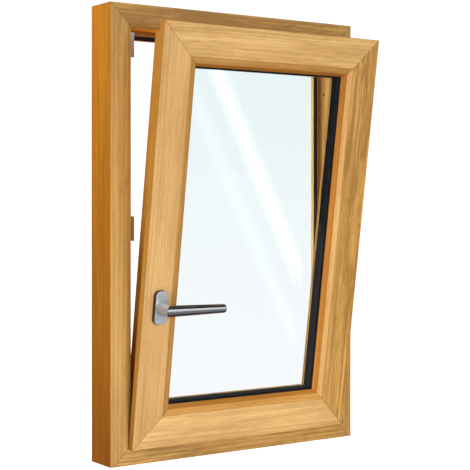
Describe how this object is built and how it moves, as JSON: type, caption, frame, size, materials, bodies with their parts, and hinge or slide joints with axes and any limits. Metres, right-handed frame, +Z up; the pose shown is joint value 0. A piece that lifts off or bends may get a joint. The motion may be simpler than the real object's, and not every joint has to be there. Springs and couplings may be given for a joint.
{
  "type": "tilt and turn window",
  "caption": "Inward tilting and turning oak window with a mitred frame and sash, sealed double glazing, a lever handle and hidden locking hardware.",
  "frame": {"origin": "middle of the underside of the frame, halfway through its depth", "axes": "+X across the width towards the hinge side, +Y to the outside of the wall, +Z up; the room is on the -Y side"},
  "size_m": [0.6, 0.2171, 0.9],
  "materials": {
    "frame_oak": "lacquered oak, satin",
    "sash_oak": "lacquered oak, satin",
    "bead_oak": "lacquered oak, satin",
    "black_rubber": "matte",
    "black_spacer": "matte",
    "clear_glass": "clear polished",
    "grey_plastic": "moulded",
    "rail_aluminium": "anodised",
    "brushed_stainless": "brushed",
    "zinc_steel": "zinc plated"
  },
  "bodies": {
    "frame": {"frame_left_jamb": "frame_oak", "frame_right_jamb": "frame_oak", "frame_sill": "frame_oak", "frame_head": "frame_oak", "frame_gasket": "black_rubber", "rain_rail": "rail_aluminium", "keeper_upper": "zinc_steel", "keeper_middle": "zinc_steel", "tilt_keeper": "zinc_steel", "keeper_screws": "zinc_steel", "corner_bearing": "zinc_steel", "stay_bearing": "zinc_steel", "corner_bearing_pin": "zinc_steel", "stay_bearing_pin": "zinc_steel", "bearing_screws": "zinc_steel"},
    "hinge_carrier": {"corner_carrier": "zinc_steel", "tilt_pin": "zinc_steel"},
    "stay_arm": {"stay_arm": "zinc_steel", "stay_arm_stud": "zinc_steel"},
    "sash": {"sash_left_stile": "sash_oak", "sash_right_stile": "sash_oak", "sash_bottom_rail": "sash_oak", "sash_top_rail": "sash_oak", "glazing_bead_left": "bead_oak", "glazing_bead_right": "bead_oak", "glazing_bead_bottom": "bead_oak", "glazing_bead_top": "bead_oak", "inner_pane": "clear_glass", "outer_pane": "clear_glass", "glass_spacer": "black_spacer", "glass_edge_seal": "black_spacer", "inner_glazing_gasket": "black_rubber", "outer_glazing_gasket": "black_rubber", "sash_gasket": "black_rubber", "setting_blocks": "grey_plastic", "faceplate": "zinc_steel", "faceplate_screws": "zinc_steel", "gearbox_case": "zinc_steel", "stay_guide": "zinc_steel", "stay_guide_screws": "zinc_steel", "tilt_bracket": "zinc_steel", "tilt_bracket_screws": "zinc_steel", "rosette_cover": "brushed_stainless", "rosette_base": "grey_plastic", "rosette_screws": "zinc_steel"},
    "drive": {"drive_rod": "zinc_steel", "locking_cams": "zinc_steel"},
    "handle": {"handle_neck": "brushed_stainless", "handle_lever": "brushed_stainless", "handle_set_screw": "zinc_steel", "handle_spindle": "zinc_steel", "drive_pinion": "zinc_steel"}
  },
  "joints": [
    {"name": "sash_turn", "type": "hinge", "parent": "frame", "child": "hinge_carrier", "pos_m": [0.2675, -0.045, 0.052], "axis": [0, 0, 1], "range_deg": [0, 90]},
    {"name": "sash_tilt", "type": "hinge", "parent": "hinge_carrier", "child": "sash", "pos_m": [0.262, -0.045, 0.038], "axis": [1, 0, 0], "range_deg": [-8.55, 0]},
    {"name": "stay_arm_swing", "type": "hinge", "parent": "hinge_carrier", "child": "stay_arm", "pos_m": [0.2675, -0.045, 0.842], "axis": [0, 0, 1], "range_deg": [-23.35, 0.1]},
    {"name": "handle_turn", "type": "hinge", "parent": "sash", "child": "handle", "pos_m": [-0.226, -0.09713, 0.31078], "axis": [0, -0.9889, -0.1487], "range_deg": [-90, 90]},
    {"name": "drive_slide", "type": "slide", "parent": "sash", "child": "drive", "axis": [0, -0.1487, 0.9889], "range_m": [-0.0181, 0.0181]}
  ],
  "couplings": [
    {"joint": "stay_arm_swing", "follows": "sash_tilt", "ratio": 2.7189},
    {"joint": "drive_slide", "follows": "handle_turn", "m_per_rad": -0.011459}
  ]
}
